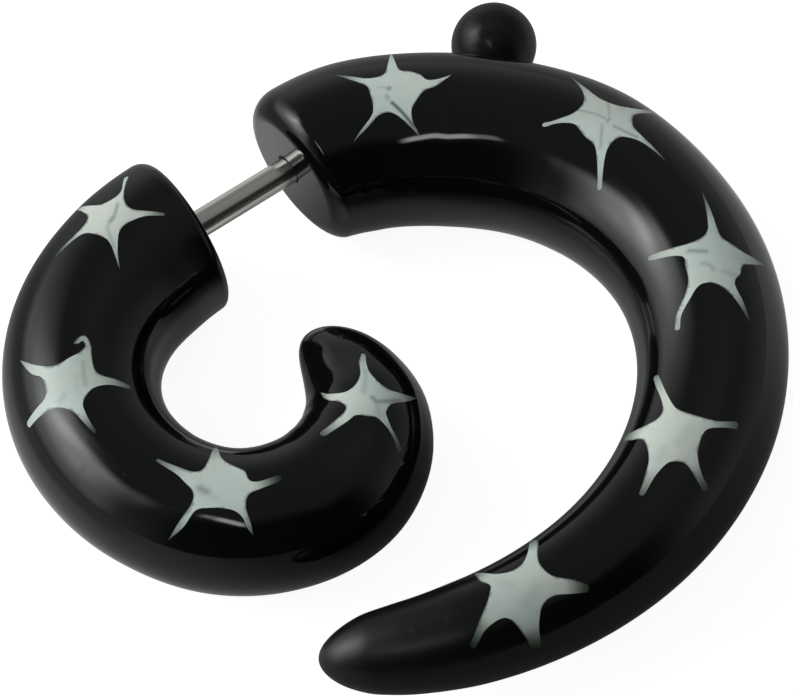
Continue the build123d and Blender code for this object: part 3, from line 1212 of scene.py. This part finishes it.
def cut(piece, cutter):
    """Cuts one mesh out of another, and removes the cutter."""
    boolean = piece.modifiers.new("drill", "BOOLEAN")
    boolean.operation = "DIFFERENCE"
    boolean.solver = "EXACT"
    boolean.object = cutter
    graph = bpy.context.evaluated_depsgraph_get()
    drilled = bpy.data.meshes.new_from_object(piece.evaluated_get(graph))
    # The cut leaves faces with points in line, whose triangles would have no area
    healed = bmesh.new()
    healed.from_mesh(drilled)
    many_sided = [face for face in healed.faces if len(face.verts) > 4]
    bmesh.ops.triangulate(healed, faces=many_sided, ngon_method="EAR_CLIP")
    bmesh.ops.dissolve_degenerate(healed, dist=1e-7, edges=healed.edges)
    healed.to_mesh(drilled)
    healed.free()
    piece.modifiers.clear()
    before = piece.data
    piece.data = drilled
    drilled.name = before.name
    bpy.data.meshes.remove(before)
    bpy.data.meshes.remove(cutter.data)


def shade(mesh, skin=None):
    """Sharp edges where the mesh turns hard, and on a curl's skin the true normals of its surface."""
    mesh.set_sharp_from_angle(angle=math.radians(SHARP_TURN))
    if skin is None:
        return
    chart = np.zeros(len(mesh.loops) * 2, np.float32)
    mesh.uv_layers["chart"].data.foreach_get("uv", chart)
    chart = chart.reshape(-1, 2)
    _, normals = skin.place(chart[:, 0], chart[:, 1])
    # A normal of zero leaves the bored faces as they are
    totals = np.zeros(len(mesh.polygons), np.int32)
    materials = np.zeros(len(mesh.polygons), np.int32)
    mesh.polygons.foreach_get("loop_total", totals)
    mesh.polygons.foreach_get("material_index", materials)
    normals[np.repeat(materials == BORED, totals)] = 0
    mesh.normals_split_custom_set(normals)


def finish_piece(piece, body, slot, *nodes):
    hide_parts(*nodes)
    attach(piece, body)


def ball_middle():
    """The ball's middle along the post's axis, in millimetres from the back curl's face."""
    low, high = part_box("screw_ball")
    start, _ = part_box("post")
    return (low.x + high.x) / 2 / MM - start.x / MM + POST_START


def post_end():
    """The thin end of the post along its axis, in millimetres from the back curl's face."""
    low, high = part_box("post")
    return (high.x - low.x) / MM + POST_START


def socket_drill(sizes):
    """Profile of what is drilled out of the front curl: a blind socket with a chamfered mouth."""
    radius = sizes.post_diameter / MM / 2 + FIXED_CLEARANCE
    mouth = FRONT_FACE - SOCKET_CHAMFER
    proud = 0.5  # millimetres that the drill's cone is long
    return [
        (SOCKET_END, 0), (SOCKET_END, radius), (mouth, radius),
        (mouth + proud, radius + proud), (mouth + proud, 0),
    ]


def bore_drill(sizes):
    """Profile of what is drilled out of the back curl: a chamfered bore, and the seat for the ball."""
    ball = sizes.ball_diameter / MM / 2
    bore = sizes.post_diameter / MM / 2 + RUNNING_CLEARANCE
    seat = ball + SEAT_CLEARANCE
    seat_floor = ball_middle() - math.sqrt(ball**2 - bore**2) - END_CLEARANCE
    mouth = BACK_SQUARENESS.setback + BORE_CHAMFER
    proud = 0.6  # millimetres that the drill stands out of the flat face
    outside = seat_floor + 8  # well clear of the curl's outer side
    return [
        (-proud, 0), (-proud, bore + proud + mouth), (mouth, bore), (seat_floor, bore),
        (seat_floor, seat), (outside, seat), (outside, 0),
    ]


def curl_mesh(curl, skin, build):
    """The mesh of a curl before it is drilled, with its maps and with how its paint lies."""
    points, _ = skin.place(build.ways, build.turns)
    faces, corners = build.faces, build.corners
    if curl.side < 0:
        faces = [face[::-1] for face in faces]
        corners = [corner[::-1] for corner in corners]
    chart = [place for corner in corners for place in corner]
    bake = [
        bake_place(skin, place, island)
        for corner, island in zip(corners, build.islands)
        for place in corner
    ]
    mesh = mesh_of(curl.piece, to_frame(points), faces, chart, bake, build.materials)
    for name in ("thin", "brushed", "rim"):
        layer = mesh.attributes.new(name, "FLOAT", "POINT")
        layer.data.foreach_set("value", np.array(getattr(build, name), np.float32))
    layer = mesh.attributes.new("spot", "FLOAT_VECTOR", "POINT")
    layer.data.foreach_set("vector", np.array(build.spot, np.float32).ravel())
    return mesh


def painted_curl(curl, profile, sizes, materials):
    """One curl, with that profile drilled out of it."""
    skin = Skin(curl)
    piece = new_object(curl.piece, curl_mesh(curl, skin, lay_curl(skin, sizes)))
    drill = new_object("drill", lathe("drill", profile, ROUND_SIDES, BORED))
    for material in materials:
        piece.data.materials.append(material)
        drill.data.materials.append(material)
    cut(piece, drill)
    shade(piece.data, skin)
    finish_piece(piece, curl.body, "black_acrylic", curl.node)


class EARRING_OT_curls(bpy.types.Operator):
    """Makes both painted curls, drilled for the post and the ball"""

    bl_idname = "earring.curls"
    bl_label = "Painted curls"

    def execute(self, context):
        sizes, finish = context.scene.earring_sizes, context.scene.earring_finish
        materials = [acrylic_material(finish), paint_material(finish), bored_material(finish)]
        front = Curl(
            piece="painted_front_curl", node="front_curl", body="front",
            start=(FRONT_FACE, 0.0), side=-1, bend_size=sizes.front_bend / MM,
            thickness=sizes.front_thickness / MM, rim=sizes.front_rim / MM, face=FRONT_SQUARENESS,
            bends=FRONT_BENDS, sections=FRONT_SECTIONS, dents=FRONT_DENTS, stars=FRONT_STARS,
        )
        back = Curl(
            piece="painted_back_curl", node="back_curl", body="back",
            start=BACK_MIDDLE, side=1, bend_size=sizes.back_bend / MM,
            thickness=sizes.back_thickness / MM, rim=sizes.back_rim / MM, face=BACK_SQUARENESS,
            bends=BACK_BENDS, sections=BACK_SECTIONS, dents=BACK_DENTS, stars=BACK_STARS,
        )
        painted_curl(front, socket_drill(sizes), sizes, materials)
        painted_curl(back, bore_drill(sizes), sizes, materials)
        return {"FINISHED"}


class EARRING_OT_post(bpy.types.Operator):
    """Makes the turned steel post with its thin end"""

    bl_idname = "earring.post"
    bl_label = "Turned post"

    def execute(self, context):
        sizes = context.scene.earring_sizes
        radius = sizes.post_diameter / MM / 2
        thread = sizes.thread_diameter / MM / 2
        end = post_end()
        shoulder = ball_middle() - sizes.ball_diameter / MM / 2 - END_CLEARANCE
        profile = [(POST_START, 0), (POST_START, radius - POST_CHAMFER)]
        for k in range(int((shoulder - POST_START) / POST_STEP)):
            profile.append((POST_START + POST_CHAMFER + k * POST_STEP, radius))
        profile += [(shoulder - SHOULDER_CHAMFER, radius), (shoulder, radius - SHOULDER_CHAMFER)]
        profile += [(shoulder, thread), (end - POST_CHAMFER, thread)]
        profile += [(end, thread - POST_CHAMFER), (end, 0)]
        piece = new_object("turned_post", lathe("turned_post", profile, ROUND_SIDES))
        piece.data.materials.append(steel_material(context.scene.earring_finish))
        shade(piece.data)
        finish_piece(piece, "front", "polished_steel", "post")
        return {"FINISHED"}


class EARRING_OT_ball(bpy.types.Operator):
    """Makes the black screw ball with its blind hole"""

    bl_idname = "earring.ball"
    bl_label = "Screw ball"

    def execute(self, context):
        sizes = context.scene.earring_sizes
        radius = sizes.ball_diameter / MM / 2
        hole = sizes.thread_diameter / MM / 2 + FIXED_CLEARANCE
        middle = ball_middle()
        bottom = post_end() + END_CLEARANCE
        mouth = math.asin((hole + HOLE_CHAMFER) / radius)
        angles = [mouth + (math.pi - mouth) * k / BALL_STEPS for k in range(BALL_STEPS)]
        arc = [(middle - radius * math.cos(angle), radius * math.sin(angle)) for angle in angles]
        lip = arc[0][0] + HOLE_CHAMFER
        profile = [(bottom, 0), (bottom, hole), (lip, hole), *arc, (middle + radius, 0)]
        piece = new_object("tumbled_ball", lathe("tumbled_ball", profile, BALL_SIDES))
        piece.data.materials.append(ball_material(context.scene.earring_finish))
        shade(piece.data)
        finish_piece(piece, "ball", "black_acrylic", "screw_ball")
        return {"FINISHED"}


def floor_plane(name, depth):
    """A square floor, that many millimetres below the earring."""
    mesh = bpy.data.meshes.new(name)
    sides = [(-1, -1), (1, -1), (1, 1), (-1, 1)]
    corners = [(x * FLOOR_HALF, y * FLOOR_HALF, -depth * MM) for x, y in sides]
    mesh.from_pydata(corners, [], [(0, 1, 2, 3)])
    plane = new_object(name, mesh)
    return plane


def paper_material(studio):
    """Pale paper that glows, so that the floor stays near white and takes only a soft shadow."""
    material = bpy.data.materials.new("pale paper")
    material.use_nodes = True
    sheet = Sheet(material.node_tree)
    tooth = sheet.noise(sheet.place(), 500.0, 3.0)
    colour = sheet.mix(tooth, solid((0.42, 0.42, 0.42)), solid((0.45, 0.45, 0.45)))
    paper = sheet.out("ShaderNodeBsdfDiffuse", None, {"Color": colour})
    white = {"Color": solid((1, 1, 1)), "Strength": studio.floor_glow}
    glow = sheet.out("ShaderNodeEmission", None, white)
    both = sheet.out("ShaderNodeAddShader", None, {0: paper, 1: glow})
    sheet.node("ShaderNodeOutputMaterial", None, {"Surface": both})
    return material


def bounce_material():
    """Floor that only the earring sees. Its glow is painted light: pools of light and a painted shade in
    some places, and brighter sectors in some directions.
    """
    material, sheet, shader = surface_material("pale floor")
    place = sheet.place()
    x, y, _ = sheet.parts(place)
    azimuth = x.maths("ARCTAN2", x, y) * math.degrees(1)
    reach = (x * x + y * y) ** 0.5 / MM
    near = FLOOR_LEAST
    # Painted pools of light near the earring, and one painted shade
    for spot in FLOOR_LIGHT_POOLS:
        near = near + (x / MM).bell(spot.x, spot.wide) * (y / MM).bell(spot.y, spot.wide) * spot.glow
    # Painted light that brightens the floor towards the window and in some other directions
    window = azimuth.bell(WINDOW_SECTOR.azimuth, WINDOW_SECTOR.wide) * WINDOW_SECTOR.glow
    far = window * (1 - sheet.rise(reach, *WINDOW_FADES) * 0.6)
    for sector in FLOOR_SECTORS:
        far = far + azimuth.bell(sector.azimuth, sector.wide) * sector.glow
    share = near + sheet.rise(reach, *SECTORS_SET_IN) * far
    glow = sheet.mix(share, solid((0, 0, 0)), DAYLIGHT)
    tooth = sheet.mix(sheet.noise(place, 60.0), solid((0.19, 0.19, 0.19)), solid((0.22, 0.22, 0.22)))
    feed(sheet, shader, Base_Color=tooth, Roughness=0.9, Emission_Color=glow, Emission_Strength=1.0)
    return material


def window_light(sheet, direction, azimuth, elevation, studio):
    """Brightness of the soft window, of the pale wall round it and of the lamp behind the camera."""

    def patch(area, height):
        across = sheet.band(azimuth, area.left, area.right)
        return across * sheet.band(height, area.bottom, area.top)

    clouds = 0.9 + sheet.rise(sheet.noise(direction, 3.0, 0.0), 0.3, 0.7) * 0.2
    # The lamp is a narrow bent streak, dimmer at one end
    aside = azimuth - LAMP_MIDDLE
    bent = elevation - aside * 0.24 + aside * aside * 0.011
    lamp = patch(LAMP, bent) * (1 - sheet.rise(azimuth, *LAMP_DIMS) * 0.6)
    pane = patch(PANE, elevation) * clouds
    return patch(WALL, elevation) * studio.window + pane * studio.window_middle + lamp * studio.lamp


def studio_world(studio):
    """A dim room with one broad soft window to the left. It is dark behind the camera."""
    world = bpy.data.worlds.new("studio")
    world.use_nodes = True
    sheet = Sheet(world.node_tree)
    direction = sheet.out("ShaderNodeTexCoord", None, None, "Generated")
    x, y, z = sheet.parts(direction)
    azimuth = x.maths("ARCTAN2", x, y) * math.degrees(1)
    elevation = z.maths("ARCSINE", z) * math.degrees(1)

    def glows(places):
        """Brightness of soft round glows."""
        total = 0.0
        for glow in places:
            across, up = azimuth.bell(glow.azimuth, glow.wide), elevation.bell(glow.elevation, glow.tall)
            total = total + across * up * glow.strength
        return total

    window = window_light(sheet, direction, azimuth, elevation, studio) + glows(WINDOW_GLOWS)
    level = (x * x + y * y + 0.0001) ** 0.5
    behind = (x * math.sin(DARK_SIDE) + y * math.cos(DARK_SIDE)) / level
    dark_top = elevation + sheet.rise(x / level, -0.2, 0.25) * 9
    dark = sheet.rise(behind, 0.35, 0.75) * (1 - sheet.rise(dark_top, 48.0, 66.0))
    room = studio.room * (1 - dark * 0.95) * (0.90 + elevation.bell(0.0, 28.0) * 1.2)
    strength = room + glows(ROOM_GLOWS) + window
    light = sheet.out("ShaderNodeBackground", None, {"Color": DAYLIGHT, "Strength": strength})
    # The camera itself sees plain white round the floor
    pale = sheet.out("ShaderNodeBackground", None, {"Color": solid((1, 1, 1)), "Strength": 1.0})
    seen = sheet.out("ShaderNodeLightPath", None, None, "Is Camera Ray")
    both = sheet.out("ShaderNodeMixShader", None, {0: seen, 1: light, 2: pale})
    sheet.node("ShaderNodeOutputWorld", None, {"Surface": both})
    return world


def studio_camera(studio):
    """A camera at that turn and height, tilted by the roll, that looks at the earring."""
    azimuth, elevation, roll = studio.azimuth, studio.elevation, studio.roll
    flat = math.cos(elevation)
    back = Vector((math.sin(azimuth) * flat, -math.cos(azimuth) * flat, math.sin(elevation)))
    level = Vector((math.cos(azimuth), math.sin(azimuth), 0.0))
    upright = back.cross(level)
    right = math.cos(roll) * level + math.sin(roll) * upright
    up = math.cos(roll) * upright - math.sin(roll) * level
    lens = bpy.data.cameras.new("camera")
    lens.lens = studio.lens
    lens.sensor_width = SENSOR
    lens.clip_start, lens.clip_end = 0.01, 20.0
    camera = new_object("camera", lens)
    turn = Matrix((right, up, back)).transposed().to_4x4()
    camera.matrix_world = Matrix.Translation(Vector(LOOKED_AT) * MM + back * studio.distance) @ turn
    return camera


class EARRING_OT_stage(bpy.types.Operator):
    """Makes the pale floor, the soft light and the camera"""

    bl_idname = "earring.stage"
    bl_label = "Studio stage"

    def execute(self, context):
        studio = context.scene.earring_studio
        floor = floor_plane("floor", FLOOR_DEPTH)
        floor.data.materials.append(paper_material(studio))
        floor.visible_diffuse = floor.visible_glossy = False
        floor.visible_transmission = floor.visible_shadow = False
        bounce = floor_plane("bounce_floor", BOUNCE_DEPTH)
        bounce.data.materials.append(bounce_material())
        bounce.visible_camera = False
        context.scene.world = studio_world(studio)
        context.scene.view_settings.view_transform = "Standard"
        context.scene.view_settings.look = "None"
        context.scene.camera = studio_camera(studio)
        return {"FINISHED"}


class EARRING_PT_panel(bpy.types.Panel):
    """Lists the earring's pieces and its stage"""

    bl_label = "Faux Spiral Earring"
    bl_idname = "EARRING_PT_panel"
    bl_space_type = "VIEW_3D"
    bl_region_type = "UI"
    bl_category = "Earring"

    def draw(self, context):
        for settings in ("earring_sizes", "earring_finish", "earring_studio"):
            group = getattr(context.scene, settings)
            box = self.layout.box()
            for name in group.__annotations__:
                box.prop(group, name)
        for operator in OPERATORS:
            self.layout.operator(operator.bl_idname)


OPERATORS = (EARRING_OT_curls, EARRING_OT_post, EARRING_OT_ball, EARRING_OT_stage)
CLASSES = (EarringSizes, EarringFinish, StudioSettings, *OPERATORS, EARRING_PT_panel)


def register():
    for cls in CLASSES:
        bpy.utils.register_class(cls)
    bpy.types.Scene.earring_sizes = PointerProperty(type=EarringSizes)
    bpy.types.Scene.earring_finish = PointerProperty(type=EarringFinish)
    bpy.types.Scene.earring_studio = PointerProperty(type=StudioSettings)


def unregister():
    for name in ("earring_sizes", "earring_finish", "earring_studio"):
        delattr(bpy.types.Scene, name)
    for cls in reversed(CLASSES):
        bpy.utils.unregister_class(cls)


def main():
    """Makes every piece and the stage."""
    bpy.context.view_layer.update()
    register()
    bpy.ops.earring.curls()
    bpy.ops.earring.post()
    bpy.ops.earring.ball()
    bpy.ops.earring.stage()


if __name__ == "__main__":
    main()
